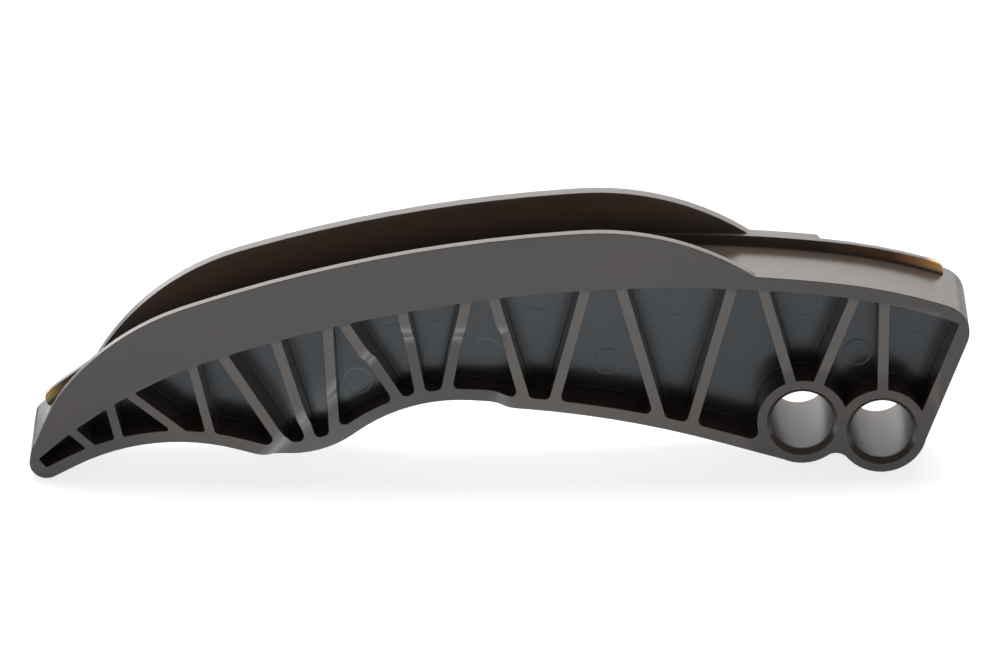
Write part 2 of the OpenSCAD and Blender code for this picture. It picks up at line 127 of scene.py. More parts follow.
class NodeDesk:
    """A small desk for laying out the nodes of one material or world."""

    # Places of the colour sockets on a mix node
    MIX_AMOUNT, MIX_FIRST, MIX_SECOND, MIX_RESULT = 0, 6, 7, 2

    def __init__(self, tree: bpy.types.NodeTree) -> None:
        """Clears the node tree of a material or of the world to work on."""
        self.tree = tree
        self.tree.nodes.clear()

    def add(self, kind: str, **settings: object) -> bpy.types.Node:
        """Adds a node and sets its own properties.

        Args:
            kind: The node's type name.
            **settings: Properties of the node and their values.

        Returns:
            The new node.
        """
        node = self.tree.nodes.new(kind)
        for name, value in settings.items():
            setattr(node, name, value)
        return node

    def link(self, start: Socket, end: Socket) -> None:
        """Joins an output socket to an input socket."""
        self.tree.links.new(start, end)

    def feed(self, end: Socket, value: Socket | float | Triple) -> None:
        """Gives an input socket a link or a plain value.

        Args:
            end: The input socket.
            value: An output socket, a number or a vector.
        """
        if isinstance(value, bpy.types.NodeSocket):
            self.link(value, end)
        else:
            end.default_value = value

    def sum(self, step: MathStep, a: Socket | float, b: Socket | float) -> Socket:
        """Adds a sum of two values.

        Args:
            step: The operation.
            a: First value.
            b: Second value.

        Returns:
            The result's socket.
        """
        node = self.add("ShaderNodeMath", operation=step.value)
        self.feed(node.inputs[0], a)
        self.feed(node.inputs[1], b)
        return node.outputs[0]

    def product(self, first: Socket, *others: Socket | float) -> Socket:
        """Multiplies two or more values.

        Args:
            first: First value.
            *others: The values to multiply it by, in turn.

        Returns:
            The result's socket.
        """
        for other in others:
            first = self.sum(MathStep.MULTIPLY, first, other)
        return first

    def size_of(self, value: Socket) -> Socket:
        """Takes the sign off a value.

        Args:
            value: The value to read.

        Returns:
            The result's socket.
        """
        node = self.add("ShaderNodeMath", operation="ABSOLUTE")
        self.link(value, node.inputs[0])
        return node.outputs[0]

    def part_way(self, value: Socket, start: float, end: float) -> Socket:
        """Tells how far a value has come from start to end, from 0 to 1.

        Args:
            value: The value to read.
            start: Where the result is 0.
            end: Where the result is 1.

        Returns:
            The result's socket.
        """
        node = self.add("ShaderNodeMapRange", clamp=True)
        self.link(value, node.inputs["Value"])
        node.inputs["From Min"].default_value = start
        node.inputs["From Max"].default_value = end
        return node.outputs["Result"]

    def coordinates(self, place: Socket) -> bpy.types.Node:
        """Takes coordinates apart.

        Args:
            place: The coordinates.

        Returns:
            The node that has them one by one.
        """
        node = self.add("ShaderNodeSeparateXYZ")
        self.link(place, node.inputs[0])
        return node

    def pick(self, amount: Socket, a: Socket, b: Socket) -> Socket:
        """Picks between two shaders.

        Args:
            amount: 0 for the first shader, 1 for the second.
            a: First shader.
            b: Second shader.

        Returns:
            The picked shader's socket.
        """
        node = self.add("ShaderNodeMixShader")
        for end, start in zip(node.inputs, (amount, a, b)):
            self.link(start, end)
        return node.outputs[0]

    def seen_rays(self) -> Socket:
        """Gives 1 for camera and transmission rays, and 0 for rays that only carry light."""
        path = self.add("ShaderNodeLightPath").outputs
        return self.sum(MathStep.LARGER, path["Is Camera Ray"], path["Is Transmission Ray"])

    def span(self, value: Socket, start: float, end: float) -> Socket:
        """Eases a value from 0 at start to 1 at end, and holds it beyond them.

        Args:
            value: The value to read.
            start: Where the result is 0.
            end: Where the result is 1.

        Returns:
            The result's socket.
        """
        node = self.add("ShaderNodeMapRange", interpolation_type="SMOOTHSTEP", clamp=True)
        self.link(value, node.inputs["Value"])
        node.inputs["From Min"].default_value = start
        node.inputs["From Max"].default_value = end
        return node.outputs["Result"]

    def scaled(self, value: Socket, low: float, high: float) -> Socket:
        """Stretches a value of 0 to 1 onto a range.

        Args:
            value: The value to read.
            low: Result at 0.
            high: Result at 1.

        Returns:
            The result's socket.
        """
        node = self.add("ShaderNodeMapRange", clamp=True)
        self.link(value, node.inputs["Value"])
        node.inputs["To Min"].default_value = low
        node.inputs["To Max"].default_value = high
        return node.outputs["Result"]

    def blend(self, amount: Socket, a: Socket, b: Socket | Triple) -> Socket:
        """Mixes two colours.

        Args:
            amount: How much of the second colour shows.
            a: First colour.
            b: Second colour, as a socket or plain.

        Returns:
            The mixed colour's socket.
        """
        node = self.add("ShaderNodeMix", data_type="RGBA")
        self.link(amount, node.inputs[self.MIX_AMOUNT])
        self.link(a, node.inputs[self.MIX_FIRST])
        second = b if isinstance(b, bpy.types.NodeSocket) else (*b, 1.0)
        self.feed(node.inputs[self.MIX_SECOND], second)
        return node.outputs[self.MIX_RESULT]

    def ramp(self, value: Socket, stops: tuple[tuple[float, Triple], ...]) -> Socket:
        """Turns a value into a colour along a ramp.

        Args:
            value: The value to read, from 0 to 1.
            stops: Places along the ramp with their colours.

        Returns:
            The colour's socket.
        """
        node = self.add("ShaderNodeValToRGB")
        bar = node.color_ramp
        while len(bar.elements) < len(stops):
            bar.elements.new(0.5)
        for element, (place, colour) in zip(bar.elements, stops):
            element.position = place
            element.color = (*colour, 1.0)
        self.link(value, node.inputs[0])
        return node.outputs["Color"]

    def noise(
        self, place: Socket, scale: float, detail: float, stretch: Triple = (1.0, 1.0, 1.0)
    ) -> Socket:
        """Adds a noise pattern fixed to the piece.

        Args:
            place: Coordinates on the piece, in metres.
            scale: Patches per metre.
            detail: Layers of finer noise.
            stretch: Scale of the coordinates along each axis.

        Returns:
            The pattern's value socket.
        """
        turned = self.add("ShaderNodeMapping")
        turned.inputs["Scale"].default_value = stretch
        self.link(place, turned.inputs["Vector"])
        node = self.add("ShaderNodeTexNoise")
        node.inputs["Scale"].default_value = scale
        node.inputs["Detail"].default_value = detail
        self.link(turned.outputs[0], node.inputs["Vector"])
        return node.outputs[0]


@dataclass(frozen=True)
class LipTip:
    """The thin end of the lip, where a glow of the light that the nylon lets through is painted.

    Attributes:
        end: The end of the rail that the tip is on.
        arc_centre: Centre of the sliding arc under the tip, along the rail and in height.
        arc_radius: Radius of that arc.
        starts: Place along the rail where the tip begins to lighten.
        stops: Place along the rail where the tip ends.
        tones: Painted glow colours from the start of the tip to its end.
    """

    end: RailEnd
    arc_centre: Pair
    arc_radius: float
    starts: float
    stops: float
    tones: tuple[tuple[float, Triple], ...]


@dataclass(frozen=True)
class Bore:
    """One bolt bore, for the fine rings that its core pin left.

    Attributes:
        centre: Axis of the bore, along the rail and in height.
        radius: Radius out to which the rings show.
    """

    centre: Pair
    radius: float


@dataclass(frozen=True)
class BrownNylon:
    """Satin brown nylon, as moulded, with painted shade and painted light in its colour.

    Attributes:
        name: Name of the material.
        light: Lighter colour of the flow patches.
        dark: Darker colour of the flow patches.
        roughness: Lowest and highest roughness of the polished pockets and channel.
        matte: Roughness that the front and back faces have more.
        matte_side: Places across the rail between which the matte faces begin.
        bore_matte: Least roughness of the bores.
        ior: Refractive index.
        flow_scale: Flow patches per metre.
        flow_stretch: Scale of the flow patches along each axis; they are long along the rail.
        flow_detail: Layers of finer flow patches.
        flow_range: Values of the flow pattern between which the two colours lie.
        gloss_scale: Patches of more or less gloss per metre.
        gloss_detail: Layers of finer gloss patches.
        grain_scale: Grains of the moulded skin per metre.
        grain_detail: Layers of finer grain.
        grain_height: Height of the grain.
        grain_share: Share of that height that shows.
        ring_scale: How close the rings of a bore lie.
        ring_waver: How far those rings waver.
        ring_detail: Layers of finer wavering.
        ring_height: Height of those rings, in heights of the grain.
        bore_edge: Distance over which a bore's wall sets in.
        face_turn: Shares of a surface's direction across the rail between which it is a face.
        rim_glow_paint: Painted glow of the thin back cheek's rim, a warm lighter colour for the
            light that comes through it.
        rim_arc: Centre of the long sliding arc under that rim.
        rim_rise: Radii from that centre between which the rim lightens.
        rim_side: Places across the rail between which the cheek begins.
        web_shade_paint: Colour of the polished web between the pockets.
        web_side: Distances from the middle of the width between which the web begins.
        rib_light_paint: Painted light on the fronts of the ribs, a lighter colour where they catch
            more light.
        rib_side: Distances from the middle of the width between which those fronts begin.
        rib_arc: Radii round the rim's arc centre between which the ribs begin under the cheek.
        rib_clear: Distances from a bore's axis between which the ribs begin.
        rib_end: Places along the rail between which the ribs begin at the bolts' end.
        rib_toe: Places along the rail between which they begin at the toe.
        tip_rise: Heights over the sliding arc between which a lip's light sets in.
        tip_side: Places across the rail between which the lip begins.
        tip_back: Places across the rail between which its lit front begins.
        tip_start: Shares of a tip's length between which it begins to lighten.
        tip_end: Shares of a tip's length between which its top lightens too.
        tips: Thin lip ends with their painted glow.
        bores: Bolt bores.
    """

    name: str = "brown_nylon"
    light: Triple = (0.057, 0.042, 0.034)
    dark: Triple = (0.046, 0.034, 0.027)
    roughness: Pair = (0.2, 0.26)
    matte: float = 0.09
    matte_side: Pair = (0.003, 0.005)
    bore_matte: float = 0.4
    ior: float = 1.53
    flow_scale: float = 70.0
    flow_stretch: Triple = (0.35, 1.0, 1.0)
    flow_detail: float = 4.0
    flow_range: Pair = (0.3, 0.7)
    gloss_scale: float = 280.0
    gloss_detail: float = 3.0
    grain_scale: float = 2600.0
    grain_detail: float = 2.0
    grain_height: float = 0.000012
    grain_share: float = 0.5
    ring_scale: float = 320.0
    ring_waver: float = 1.5
    ring_detail: float = 2.0
    ring_height: float = 1.5
    bore_edge: float = 0.0001
    face_turn: Pair = (0.8, 0.95)
    rim_glow_paint: Triple = (0.11, 0.072, 0.054)
    rim_arc: Pair = (-0.0224, -0.1971)
    rim_rise: Pair = (0.2246, 0.2292)
    rim_side: Pair = (0.005, 0.0056)
    web_shade_paint: Triple = (0.019, 0.019, 0.021)
    web_side: Pair = (0.002, 0.0012)
    rib_light_paint: Triple = (0.094, 0.074, 0.062)
    rib_side: Pair = (0.0058, 0.0064)
    rib_arc: Pair = (0.2208, 0.2198)
    rib_clear: Pair = (0.0085, 0.0105)
    rib_end: Pair = (0.0222, 0.0212)
    rib_toe: Pair = (-0.112, -0.098)
    tip_rise: Pair = (-0.0001, 0.0007)
    tip_side: Pair = (0.0036, 0.0044)
    tip_back: Pair = (0.0057, 0.0052)
    tip_start: Pair = (0.0, 0.15)
    tip_end: Pair = (0.84, 0.97)
    tips: tuple[LipTip, ...] = (
        LipTip(
            RailEnd.BOLTS,
            (-0.00543, -0.062768),
            0.0875,
            0.0025,
            0.0226,
            (
                (0.0, (0.07, 0.06, 0.052)),
                (0.2, (0.1, 0.056, 0.035)),
                (0.6, (0.16, 0.077, 0.038)),
                (0.8, (0.5, 0.23, 0.098)),
                (0.92, (0.7, 0.38, 0.16)),
                (1.0, (0.8, 0.57, 0.24)),
            ),
        ),
        LipTip(
            RailEnd.TOE,
            (-0.068162, -0.062676),
            0.0809,
            -0.1155,
            -0.1212,
            (
                (0.0, (0.07, 0.06, 0.052)),
                (0.3, (0.1, 0.06, 0.038)),
                (0.55, (0.22, 0.13, 0.06)),
                (0.8, (0.44, 0.29, 0.11)),
                (1.0, (0.68, 0.52, 0.21)),
            ),
        ),
    )
    bores: tuple[Bore, ...] = (Bore((0.0, 0.0), 0.0052), Bore((0.01271, -0.0017), 0.0052))

    def material(self) -> bpy.types.Material:
        """Builds the nylon.

        Returns:
            The new material.
        """
        made = bpy.data.materials.new(self.name)
        made.use_nodes = True
        desk = NodeDesk(made.node_tree)
        where = desk.add("ShaderNodeTexCoord")
        place = where.outputs["Object"]
        parts = desk.coordinates(place)
        side = desk.size_of(parts.outputs["Y"])
        facing = self._facing(desk, where.outputs["Normal"])
        flow = desk.noise(place, self.flow_scale, self.flow_detail, self.flow_stretch)
        colour = desk.ramp(flow, tuple(zip(self.flow_range, (self.dark, self.light))))
        colour = self._paint_web_shade(desk, facing, side, colour)
        colour = self._paint_rib_light(desk, facing, side, parts, colour)
        colour = self._paint_rim_glow(desk, parts, facing, colour)
        for tip in self.tips:
            colour = self._paint_tip_glow(desk, parts, facing, colour, tip)
            LOG.info("lip tip at the %s end lit", tip.end.value)
        grain = desk.noise(place, self.grain_scale, self.grain_detail)
        bores = self._in_bores(desk, parts)
        height = desk.sum(MathStep.ADD, grain, self._bore_rings(desk, place, bores))
        bump = desk.add("ShaderNodeBump")
        bump.inputs["Strength"].default_value = self.grain_share
        bump.inputs["Distance"].default_value = self.grain_height
        desk.link(height, bump.inputs["Height"])
        shader = desk.add("ShaderNodeBsdfPrincipled")
        shader.inputs["IOR"].default_value = self.ior
        desk.link(colour, shader.inputs["Base Color"])
        rough = self._skin(desk, place, side, facing, bores)
        desk.link(rough, shader.inputs["Roughness"])
        desk.link(bump.outputs[0], shader.inputs["Normal"])
        out = desk.add("ShaderNodeOutputMaterial")
        desk.link(shader.outputs[0], out.inputs[0])
        return made

    def _from_axis(self, desk: NodeDesk, parts: bpy.types.Node, centre: Pair) -> Socket:
        """Measures how far a point is from an axis that runs across the rail.

        Args:
            desk: The material's desk.
            parts: Node with the separate coordinates.
            centre: The axis, along the rail and in height.

        Returns:
            The distance's socket.
        """
        flat = desk.add("ShaderNodeCombineXYZ")
        desk.link(parts.outputs["X"], flat.inputs["X"])
        desk.link(parts.outputs["Z"], flat.inputs["Z"])
        away = desk.add("ShaderNodeVectorMath", operation="DISTANCE")
        desk.link(flat.outputs[0], away.inputs[0])
        away.inputs[1].default_value = (centre[0], 0.0, centre[1])
        return away.outputs["Value"]

    def _skin(
        self, desk: NodeDesk, place: Socket, side: Socket, facing: Socket, bores: Socket
    ) -> Socket:
        """Lays out how rough the skin is: polished pockets, matte faces, dull bores.

        Args:
            desk: The material's desk.
            place: Coordinates on the piece.
            side: Distance from the middle of the rail's width.
            facing: Socket that is 1 on faces to the front or the back.
            bores: Socket that is 1 in the bores.

        Returns:
            The roughness's socket.
        """
        gloss = desk.noise(place, self.gloss_scale, self.gloss_detail)
        polished = desk.scaled(gloss, *self.roughness)
        matte = desk.product(facing, desk.span(side, *self.matte_side), self.matte)
        rough = desk.sum(MathStep.ADD, polished, matte)
        return desk.sum(MathStep.LARGER, rough, desk.product(bores, self.bore_matte))

    def _paint_rim_glow(
        self, desk: NodeDesk, parts: bpy.types.Node, facing: Socket, colour: Socket
    ) -> Socket:
        """Paints the glow of light coming through the thin rim of the back cheek into its colour.

        Args:
            desk: The material's desk.
            parts: Node with the separate coordinates.
            facing: Socket that is 1 on faces to the front or the back.
            colour: Colour of the nylon so far.

        Returns:
            The colour's socket with the rim in it.
        """
        up = desk.span(self._from_axis(desk, parts, self.rim_arc), *self.rim_rise)
        back = desk.span(parts.outputs["Y"], *self.rim_side)
        # Painted glow: light through the thin rim, painted into the colour.
        return desk.blend(desk.product(up, back, facing), colour, self.rim_glow_paint)

    def _facing(self, desk: NodeDesk, normal: Socket) -> Socket:
        """Gives 1 where the surface faces the front or the back, from its direction."""
        across = desk.size_of(desk.coordinates(normal).outputs["Y"])
        return desk.span(across, *self.face_turn)

    def _paint_web_shade(self, desk: NodeDesk, facing: Socket, side: Socket, colour: Socket) -> Socket:
        """Paints shade onto the polished web deep in the pockets by darkening its colour."""
        # Painted shade: the web's colour is darkened where the deep pockets shade it.
        web = desk.product(facing, desk.span(side, *self.web_side))
        return desk.blend(web, colour, self.web_shade_paint)

    def _paint_rib_light(
        self,
        desk: NodeDesk,
        facing: Socket,
        side: Socket,
        parts: bpy.types.Node,
        colour: Socket,
    ) -> Socket:
        """Paints light onto the fronts of the ribs and of the lower wall by lightening their
        colour.

        Args:
            desk: The material's desk.
            facing: Socket that is 1 on faces to the front or the back.
            side: Distance from the middle of the rail's width.
            parts: Node with the separate coordinates.
            colour: Colour of the nylon so far.

        Returns:
            The colour's socket with the ribs in it.
        """
        under = desk.span(self._from_axis(desk, parts, self.rim_arc), *self.rib_arc)
        ribs = desk.product(facing, desk.span(side, *self.rib_side), under)
        for end in (self.rib_end, self.rib_toe):
            ribs = desk.product(ribs, desk.span(parts.outputs["X"], *end))
        for bore in self.bores:
            clear = desk.span(self._from_axis(desk, parts, bore.centre), *self.rib_clear)
            ribs = desk.product(ribs, clear)
        # Painted light: the fronts of the ribs are lightened where they catch more light.
        return desk.blend(ribs, colour, self.rib_light_paint)

    def _paint_tip_glow(
        self,
        desk: NodeDesk,
        parts: bpy.types.Node,
        facing: Socket,
        colour: Socket,
        tip: LipTip,
    ) -> Socket:
        """Paints the glow of light through one lip tip into the nylon's colour, brighter towards
        its end.

        Args:
            desk: The material's desk.
            parts: Node with the separate coordinates.
            facing: Socket that is 1 on faces to the front or the back.
            colour: Colour of the nylon so far.
            tip: The lip tip.

        Returns:
            The colour's socket with the tip in it.
        """
        along = desk.part_way(parts.outputs["X"], tip.starts, tip.stops)
        above = desk.span(
            self._from_axis(desk, parts, tip.arc_centre),
            *(tip.arc_radius + rise for rise in self.tip_rise),
        )
        shown = desk.product(
            above,
            desk.span(parts.outputs["Y"], *self.tip_side),
            desk.span(parts.outputs["Y"], *self.tip_back),
            desk.span(along, *self.tip_start),
            desk.sum(MathStep.LARGER, facing, desk.span(along, *self.tip_end)),
        )
        # Painted glow: light through the thin lip, painted into the colour.
        return desk.blend(shown, colour, desk.ramp(along, tip.tones))

    def _in_bores(self, desk: NodeDesk, parts: bpy.types.Node) -> Socket:
        """Tells the bore walls from the rest.

        Args:
            desk: The material's desk.
            parts: Node with the separate coordinates.

        Returns:
            A socket that is 1 in the bores and 0 away from them.
        """
        near: Socket | None = None
        for bore in self.bores:
            away = self._from_axis(desk, parts, bore.centre)
            inside = desk.span(away, bore.radius, bore.radius - self.bore_edge)
            near = inside if near is None else desk.sum(MathStep.LARGER, near, inside)
        return near

    def _bore_rings(self, desk: NodeDesk, place: Socket, bores: Socket) -> Socket:
        """Draws the fine rings round the bore walls.

        Args:
            desk: The material's desk.
            place: Coordinates on the piece.
            bores: Socket that is 1 in the bores.

        Returns:
            The height's socket, 0 away from the bores.
        """
        wave = desk.add("ShaderNodeTexWave", wave_type="BANDS", bands_direction="Y")
        wave.inputs["Scale"].default_value = self.ring_scale
        wave.inputs["Distortion"].default_value = self.ring_waver
        wave.inputs["Detail"].default_value = self.ring_detail
        desk.link(place, wave.inputs["Vector"])
        return desk.product(wave.outputs["Fac"], self.ring_height, bores)


@dataclass(frozen=True)
class PaleFloor:
    """Plain white floor that keeps the rail's soft shadow; gloss on the rail mirrors it with
    painted light and painted shadow.

    Attributes:
        name: Name of the material.
        tone: Colour that bounces light onto the rail.
        seen_tone: Colour that takes the shadow where the floor is seen.
        seen_glow: Light that the floor adds where it is seen.
        mirror_tone: Cool white that gloss on the rail mirrors.
        mirror_painted_light: Painted light of the floor in that mirror image, low behind the rail
            as a painted shadow and high before it.
        mirror_fade: Places across the rail between which that light changes.
        mirror_rest: Places behind the rail between which that painted shadow ends and the light
            comes back.
        rest_share: Share of the light that comes back there.
        near_painted_shade: Share of that light close before the rail, a painted shade there, and
            further out.
        near_fade: Places before the rail between which that share changes.
        side_painted_shade: Share of that light that is gone at the bolts' side, a painted shade
            there.
        mirror_side: Places along the rail between which it goes.
        foot_painted_light: Painted light that the floor has more at the foot of the arch, a
            painted pool of light.
        foot_fade: Places before the rail between which that light sets in.
        foot_side: Places along the rail between which it sets in.
        foot_end: Places along the rail, further to the toe, between which it ends.
    """

    name: str = "pale_floor"
    tone: Triple = (0.86, 0.86, 0.86)
    seen_tone: Triple = (0.3, 0.3, 0.3)
    seen_glow: float = 0.8
    mirror_tone: Triple = (0.92, 1.0, 1.06)
    mirror_painted_light: Pair = (0.4, 1.5)
    mirror_fade: Pair = (0.03, -0.01)
    mirror_rest: Pair = (0.045, 0.09)
    rest_share: float = 0.45
    near_painted_shade: Pair = (0.86, 1.05)
    near_fade: Pair = (-0.03, -0.062)
    side_painted_shade: float = 0.16
    mirror_side: Pair = (-0.03, 0.01)
    foot_painted_light: float = 1.3
    foot_fade: Pair = (-0.034, -0.018)
    foot_side: Pair = (-0.02, -0.045)
    foot_end: Pair = (-0.092, -0.078)

    def material(self) -> bpy.types.Material:
        """Builds the floor's paint.

        Returns:
            The new material.
        """
        made = bpy.data.materials.new(self.name)
        made.use_nodes = True
        desk = NodeDesk(made.node_tree)
        bounce = desk.add("ShaderNodeBsdfDiffuse")
        bounce.inputs["Color"].default_value = (*self.tone, 1.0)
        paint = desk.add("ShaderNodeBsdfDiffuse")
        paint.inputs["Color"].default_value = (*self.seen_tone, 1.0)
        glow = desk.add("ShaderNodeEmission")
        glow.inputs["Strength"].default_value = self.seen_glow
        both = desk.add("ShaderNodeAddShader")
        desk.link(paint.outputs[0], both.inputs[0])
        desk.link(glow.outputs[0], both.inputs[1])
        mirrored = desk.add("ShaderNodeEmission")
        mirrored.inputs["Color"].default_value = (*self.mirror_tone, 1.0)
        parts = desk.coordinates(desk.add("ShaderNodeTexCoord").outputs["Object"])
        desk.link(self._painted_mirror_light(desk, parts), mirrored.inputs["Strength"])
        plain = desk.pick(desk.seen_rays(), bounce.outputs[0], both.outputs[0])
        glossy = desk.add("ShaderNodeLightPath").outputs["Is Glossy Ray"]
        out = desk.add("ShaderNodeOutputMaterial")
        desk.link(desk.pick(glossy, plain, mirrored.outputs[0]), out.inputs[0])
        return made

    def _painted_mirror_light(self, desk: NodeDesk, parts: bpy.types.Node) -> Socket:
        """Paints the floor's light and shadow where gloss on the rail mirrors it.

        Args:
            desk: The material's desk.
            parts: Node with the separate coordinates.

        Returns:
            The brightness's socket.
        """
        along, across = parts.outputs["X"], parts.outputs["Y"]
        before = desk.span(across, *self.mirror_fade)
        rest = desk.product(desk.span(across, *self.mirror_rest), self.rest_share)
        open_floor = desk.sum(MathStep.LARGER, before, rest)
        # Painted shadow behind the rail, painted shade close before it and at the bolts' side.
        level = desk.product(
            desk.scaled(open_floor, *self.mirror_painted_light),
            desk.scaled(desk.span(along, *self.mirror_side), 1.0, 1.0 - self.side_painted_shade),
            desk.scaled(desk.span(across, *self.near_fade), *self.near_painted_shade),
        )
        # Painted pool of light at the foot of the arch.
        foot = desk.product(
            desk.span(across, *self.foot_fade),
            desk.span(along, *self.foot_side),
            desk.span(along, *self.foot_end),
            before,
            self.foot_painted_light,
        )
        return desk.sum(MathStep.ADD, level, foot)


@dataclass(frozen=True)
class PinMarks:
    """Shallow round marks that the mould's pins left in the front web.

    Attributes:
        places: Middle of each mark, along the rail and in height.
        radius: Radius of a mark.
        depth: Depth of a mark.
        slope: Width of a mark's sloping edge.
        face: Place of the front web's face across the rail.
        clear: How far the cutter stands out of that face.
        reach: Distance past a mark within which an edge is still one of its own.
        corners: Corners of a mark's circle.
        crease: Angle over which an edge of a mark stays crisp.
    """

    places: tuple[Pair, ...] = (
        (-0.07103, 0.00469),
        (-0.06574, 0.01657),
        (-0.05808, 0.01737),
        (-0.05026, 0.00977),
        (-0.04221, 0.01915),
        (-0.03096, 0.00784),
        (-0.01974, 0.01807),
        (-0.01002, 0.00519),
        (0.00083, 0.01788),
        (0.00891, 0.00906),
        (0.01858, 0.01475),
    )
    radius: float = 0.00232
    depth: float = 0.00004
    slope: float = 0.0002
    face: float = -0.0009
    clear: float = 0.00002
    reach: float = 0.00004
    corners: int = 48
    crease: float = math.radians(5.0)

    def sink_into(self, piece: bpy.types.Object) -> None:
        """Sinks the marks into the rail.

        Args:
            piece: The rail's piece.
        """
        cutter = self._cutter()
        make_active(piece)
        cut = piece.modifiers.new("pin_marks", "BOOLEAN")
        cut.operation = "DIFFERENCE"
        cut.solver = "EXACT"
        cut.object = cutter
        bpy.ops.object.modifier_apply(modifier=cut.name)
        make_active(cutter)
        bpy.ops.object.delete()
        make_active(piece)
        self._keep_edges(piece)

    def _cutter(self) -> bpy.types.Object:
        """Makes one object of all the cutters, one for each mark.

        Returns:
            The cutters, selected and active.
        """
        deselect_all()
        cutters: list[bpy.types.Object] = []
        spread = self.slope / self.depth
        for along, height in self.places:
            bpy.ops.mesh.primitive_cone_add(
                vertices=self.corners,
                radius1=self.radius - self.slope,
                radius2=self.radius + self.clear * spread,
                depth=self.depth + self.clear,
                location=(along, self.face + (self.depth - self.clear) / 2.0, height),
                rotation=(QUARTER_TURN, 0.0, 0.0),
            )
            cutters.append(bpy.context.object)
        deselect_all()
        for cutter in cutters:
            cutter.select_set(True)
        bpy.context.view_layer.objects.active = cutters[0]
        bpy.ops.object.join()
        return bpy.context.object

    def _keep_edges(self, piece: bpy.types.Object) -> None:
        """Keeps the edges of the marks crisp when the rail is shaded smooth.

        Args:
            piece: The rail's piece.
        """
        bpy.ops.object.mode_set(mode="EDIT")
        bpy.ops.mesh.select_mode(type="EDGE")
        bpy.ops.mesh.select_all(action="DESELECT")
        shell = bmesh.from_edit_mesh(piece.data)
        for edge in shell.edges:
            if all(self._near(corner.co) for corner in edge.verts):
                edge.select = edge.calc_face_angle(0.0) > self.crease
        bmesh.update_edit_mesh(piece.data)
        bpy.ops.mesh.mark_sharp()
        bpy.ops.object.mode_set(mode="OBJECT")

    def _near(self, point: Vector) -> bool:
        """Tells whether a point of the rail lies in one of the marks.

        Args:
            point: The point.

        Returns:
            True for a point on a mark's edge or floor.
        """
        if abs(point.y - self.face) > self.depth + self.reach:
            return False
        return any(
            math.hypot(point.x - along, point.z - height) < self.radius + self.reach
            for along, height in self.places
        )


